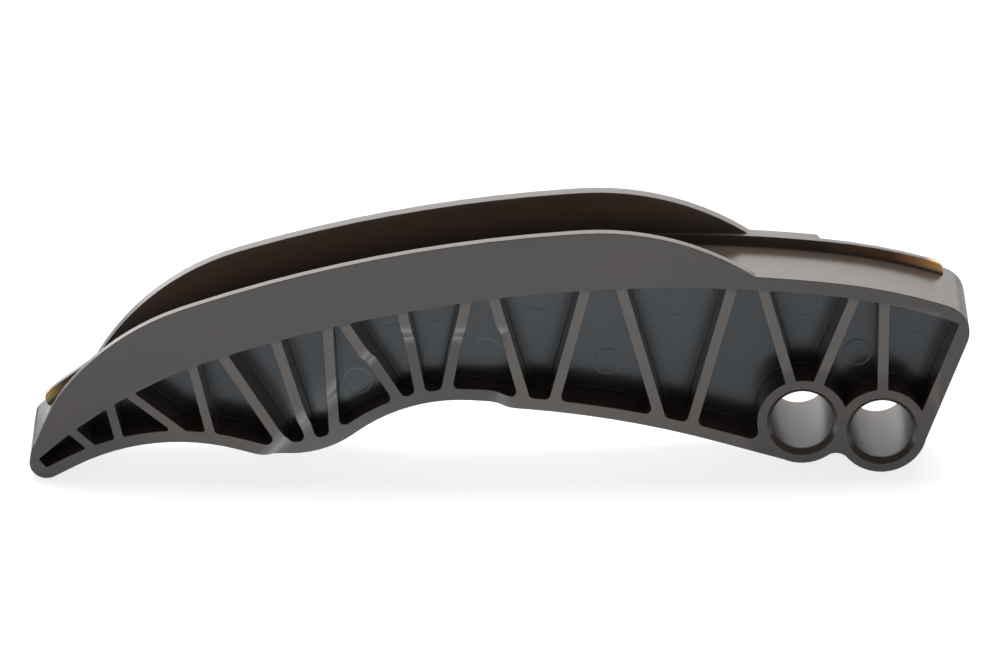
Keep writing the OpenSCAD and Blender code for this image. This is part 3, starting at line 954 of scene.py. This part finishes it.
@dataclass
class GuideRail:
    """The moulded rail as one visual piece.

    Attributes:
        node: CAD node that the piece stands for.
        name: Name of the piece.
        body: CAD body that it rides on.
        slot: Material slot of the record; not used.
        merge_gap: Distance within which corners are one.
        flat_angle: Angle under which neighbouring faces are one flat face.
        edge_angle: Angle over which an edge is broken.
        edge_round: Width of the broken edges.
        edge_segments: Steps across a broken edge.
        edge_profile: Shape of a broken edge, 0.5 for a round one.
        smooth_angle: Angle under which faces shade into each other.
        flat_weight: How much large faces outweigh small ones in the shading.
        weld_gap: Distance within which corners of the broken edges are one.
        marks: Marks of the mould's pins.
        crisp: Boxes, from low to high corner, where a sliver is too thin to break its edges.
    """

    node: str = "guide_rail"
    name: str = "rail_moulding"
    body: str = "root"
    slot: str = "nylon"
    merge_gap: float = 0.00003
    flat_angle: float = math.radians(0.2)
    edge_angle: float = math.radians(30.0)
    edge_round: float = 0.00012
    edge_segments: int = 3
    edge_profile: float = 0.5
    smooth_angle: float = math.radians(44.0)
    flat_weight: int = 80
    weld_gap: float = 0.000002
    marks: PinMarks = field(default_factory=PinMarks)
    crisp: tuple[tuple[Triple, Triple], ...] = (
        ((-0.1216, 0.0044, -0.0019), (-0.1207, 0.006, -0.001)),
        ((0.0224, 0.0044, 0.0198), (0.0232, 0.006, 0.0203)),
        ((-0.1212, -0.0064, -0.0016), (-0.1199, -0.006, 0.0029)),
        ((-0.0092, 0.0057, 0.0253), (0.0045, 0.0059, 0.0276)),
    )

    def build(self) -> bpy.types.Object:
        """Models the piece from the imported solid.

        Returns:
            The finished piece, undressed.
        """
        piece = self._copy_of_node()
        self._join_faces()
        self._break_edges(piece)
        self.marks.sink_into(piece)
        self._smooth(piece)
        return piece

    def _copy_of_node(self) -> bpy.types.Object:
        """Copies the CAD node into a new object with a mesh of its own.

        Returns:
            The copy, selected and active.
        """
        make_active(frame["nodes"][self.node])
        bpy.ops.object.duplicate(linked=False)
        piece = bpy.context.object
        bpy.ops.object.parent_clear(type="CLEAR_KEEP_TRANSFORM")
        for key in list(piece.keys()):
            del piece[key]
        piece.name = self.name
        piece.data.name = self.name
        piece.data.materials.clear()
        make_active(piece)
        return piece

    def _join_faces(self) -> None:
        """Merges the loose triangles of the copy and joins those of one flat face."""
        bpy.ops.object.mode_set(mode="EDIT")
        bpy.ops.mesh.select_all(action="SELECT")
        bpy.ops.mesh.remove_doubles(threshold=self.merge_gap)
        bpy.ops.mesh.customdata_custom_splitnormals_clear()
        bpy.ops.mesh.dissolve_limited(angle_limit=self.flat_angle)
        bpy.ops.object.mode_set(mode="OBJECT")

    def _break_edges(self, piece: bpy.types.Object) -> None:
        """Rounds every crisp edge of the moulding, outside and inside corners alike.

        Args:
            piece: The rail's piece.
        """
        bpy.ops.object.mode_set(mode="EDIT")
        bpy.ops.mesh.select_mode(type="EDGE")
        bpy.ops.mesh.select_all(action="DESELECT")
        bpy.ops.mesh.edges_select_sharp(sharpness=self.edge_angle)
        shell = bmesh.from_edit_mesh(piece.data)
        for edge in shell.edges:
            if edge.select and any(self._stays_crisp(corner.co) for corner in edge.verts):
                edge.select = False
        bmesh.update_edit_mesh(piece.data)
        bpy.ops.mesh.bevel(
            offset=self.edge_round,
            offset_type="OFFSET",
            segments=self.edge_segments,
            profile=self.edge_profile,
            affect="EDGES",
            clamp_overlap=False,
            loop_slide=True,
        )
        bpy.ops.mesh.select_all(action="SELECT")
        bpy.ops.mesh.remove_doubles(threshold=self.weld_gap)
        bpy.ops.object.mode_set(mode="OBJECT")

    def _stays_crisp(self, corner: Vector) -> bool:
        """Tells whether a corner lies in a box where the edges are left as they are."""
        return any(
            all(low <= at <= high for low, at, high in zip(lowest, corner, highest))
            for lowest, highest in self.crisp
        )

    def _smooth(self, piece: bpy.types.Object) -> None:
        """Shades the curved runs smoothly and keeps the flat faces flat.

        Args:
            piece: The rail's piece.
        """
        make_active(piece)
        bpy.ops.object.shade_smooth_by_angle(angle=self.smooth_angle)
        weights = piece.modifiers.new("flat_faces_stay_flat", "WEIGHTED_NORMAL")
        weights.mode = "FACE_AREA"
        weights.weight = self.flat_weight
        weights.keep_sharp = True
        bpy.ops.object.modifier_apply(modifier=weights.name)

    def dress(self, piece: bpy.types.Object, finish: BrownNylon) -> None:
        """Gives the piece its finish and sets it in the frame.

        Args:
            piece: The rail's piece.
            finish: The nylon.
        """
        piece.data.materials.append(finish.material())
        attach(piece, self.body)
        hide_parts(self.node)


@dataclass(frozen=True)
class Softbox:
    """One soft lamp of the studio.

    Attributes:
        place: Where the lamp is named for.
        position: Middle of the lamp.
        aim: Point that the lamp faces.
        size: Width and height of the lamp.
        radiance: Brightness of its face.
        power: Watts for each square metre of face and unit of brightness.
    """

    place: LampPlace
    position: Triple
    aim: Triple
    size: Pair
    radiance: float
    power: float = 4.0

    def build(self) -> bpy.types.Object:
        """Sets up the lamp, which neither the camera nor gloss on the rail shows.

        Returns:
            The lamp's object.
        """
        deselect_all()
        bpy.ops.object.light_add(type="AREA", location=self.position)
        lamp = bpy.context.object
        lamp.name = self.place.value
        sight = Vector(self.aim) - Vector(self.position)
        lamp.rotation_euler = sight.to_track_quat("-Z", "Y").to_euler()
        lamp.data.shape = "RECTANGLE"
        lamp.data.size, lamp.data.size_y = self.size
        lamp.data.energy = self.radiance * self.power * self.size[0] * self.size[1]
        lamp.visible_camera = False
        lamp.visible_glossy = False
        return lamp


@dataclass(frozen=True)
class Backdrop:
    """The room around the rail: a white backdrop behind it and dim elsewhere.

    Attributes:
        name: Name of the world.
        dim: Strength of the room in front, above and to the sides.
        back: Strength of the backdrop.
        begins: How far towards the back the backdrop begins and is full.
        height: Tones of the backdrop from the floor's line upwards.
        width: Tones of the backdrop from the toe's side to the bolts' side.
        tone: Colour of the room.
    """

    name: str = "white_backdrop"
    dim: float = 0.15
    back: float = 3.05
    begins: Pair = (0.3, 0.7)
    height: tuple[Pair, ...] = ((0.0, 1.0), (0.42, 0.8), (0.7, 0.4), (1.0, 0.06))
    width: tuple[Pair, ...] = ((0.2, 1.0), (0.53, 0.97), (0.6, 0.8), (0.7, 0.45))
    tone: Triple = (1.0, 1.0, 1.0)

    def world(self) -> bpy.types.World:
        """Builds the room.

        Returns:
            The new world.
        """
        made = bpy.data.worlds.new(self.name)
        made.use_nodes = True
        desk = NodeDesk(made.node_tree)
        parts = desk.coordinates(desk.add("ShaderNodeTexCoord").outputs["Generated"])
        behind = desk.span(parts.outputs["Y"], *self.begins)
        up = desk.ramp(parts.outputs["Z"], self._greys(self.height))
        sideways = desk.part_way(parts.outputs["X"], -1.0, 1.0)
        across = desk.ramp(sideways, self._greys(self.width))
        lit = desk.product(up, across, behind)
        room = desk.add("ShaderNodeBackground")
        white = desk.add("ShaderNodeBackground")
        for light in (room, white):
            light.inputs["Color"].default_value = (*self.tone, 1.0)
        desk.link(desk.scaled(lit, self.dim, self.back), room.inputs["Strength"])
        shown = desk.pick(desk.seen_rays(), room.outputs[0], white.outputs[0])
        out = desk.add("ShaderNodeOutputWorld")
        desk.link(shown, out.inputs[0])
        return made

    def _greys(self, tones: tuple[Pair, ...]) -> tuple[tuple[float, Triple], ...]:
        """Makes stops of a ramp from plain tones."""
        return tuple((place, (tone, tone, tone)) for place, tone in tones)


@dataclass
class Studio:
    """Floor, lamps, surroundings and camera.

    Attributes:
        floor_gap: How far the floor lies under the rail.
        floor_reach: Length of the floor's sides.
        floor_finish: Paint of the floor.
        room: Light that comes from the room around.
        target: Point that the camera looks at.
        distance: Distance from the camera to that point.
        elevation: Angle of the camera above the horizon.
        roll: Turn of the camera about its own line of sight.
        lens: Focal length in millimetres.
        sensor: Width of the camera's sensor in millimetres.
        sees: Nearest and furthest distance that the camera sees.
        lamps: The soft lamps.
    """

    floor_gap: float = 0.00001
    floor_reach: float = 8.0
    floor_finish: PaleFloor = field(default_factory=PaleFloor)
    room: Backdrop = field(default_factory=Backdrop)
    target: Triple = (-0.04816, -0.0078, 0.01601)
    distance: float = 1.2
    elevation: float = math.radians(24.2)
    roll: float = math.radians(-0.475)
    lens: float = 272.16
    sensor: float = 36.0
    sees: Pair = (0.01, 50.0)
    lamps: tuple[Softbox, ...] = (
        Softbox(LampPlace.OVERHEAD, (-0.05, 0.35, 0.95), (-0.05, 0.0, 0.0), (0.9, 0.6), 8.0),
        Softbox(LampPlace.FRONT, (-0.05, -1.2, 0.55), (-0.05, 0.0, 0.0), (1.6, 0.8), 0.3),
    )

    def build(self) -> None:
        """Sets up the whole studio."""
        self._floor()
        for lamp in self.lamps:
            lamp.build()
            LOG.info("lamp %s set at radiance %.1f", lamp.place.value, lamp.radiance)
        bpy.context.scene.world = self.room.world()
        LOG.info("backdrop %s set at strength %.2f", self.room.name, self.room.back)
        self._camera()

    def _floor(self) -> None:
        """Lays the floor just under the rail."""
        deselect_all()
        height = CAD_BOX[0][2] - self.floor_gap
        bpy.ops.mesh.primitive_plane_add(size=self.floor_reach, location=(0.0, 0.0, height))
        floor = bpy.context.object
        floor.name = "studio_floor"
        floor.data.materials.append(self.floor_finish.material())
        LOG.info("floor laid at %.2f mm", height * MM_PER_M)

    def _camera(self) -> None:
        """Sets the camera at the photograph's viewing angle."""
        deselect_all()
        sight = Vector((0.0, math.cos(self.elevation), -math.sin(self.elevation)))
        bpy.ops.object.camera_add(location=Vector(self.target) - self.distance * sight)
        camera = bpy.context.object
        camera.name = "studio_camera"
        tilt = Matrix.Rotation(QUARTER_TURN - self.elevation, 3, "X")
        turn = Matrix.Rotation(self.roll, 3, "Z")
        camera.rotation_euler = (tilt @ turn).to_euler()
        camera.data.sensor_width = self.sensor
        camera.data.sensor_fit = "HORIZONTAL"
        camera.data.lens = self.lens
        camera.data.clip_start, camera.data.clip_end = self.sees
        bpy.context.scene.camera = camera


def main() -> None:
    """Builds the rail's looks and the studio, in order."""
    logging.basicConfig(level=logging.INFO, format="%(name)s: %(message)s")
    bpy.context.scene.view_settings.view_transform = "Standard"
    rail = GuideRail()
    piece = rail.build()
    rail.dress(piece, BrownNylon())
    LOG.info("piece %s built with %d faces", piece.name, len(piece.data.polygons))
    Studio().build()


if __name__ == "__main__":
    main()
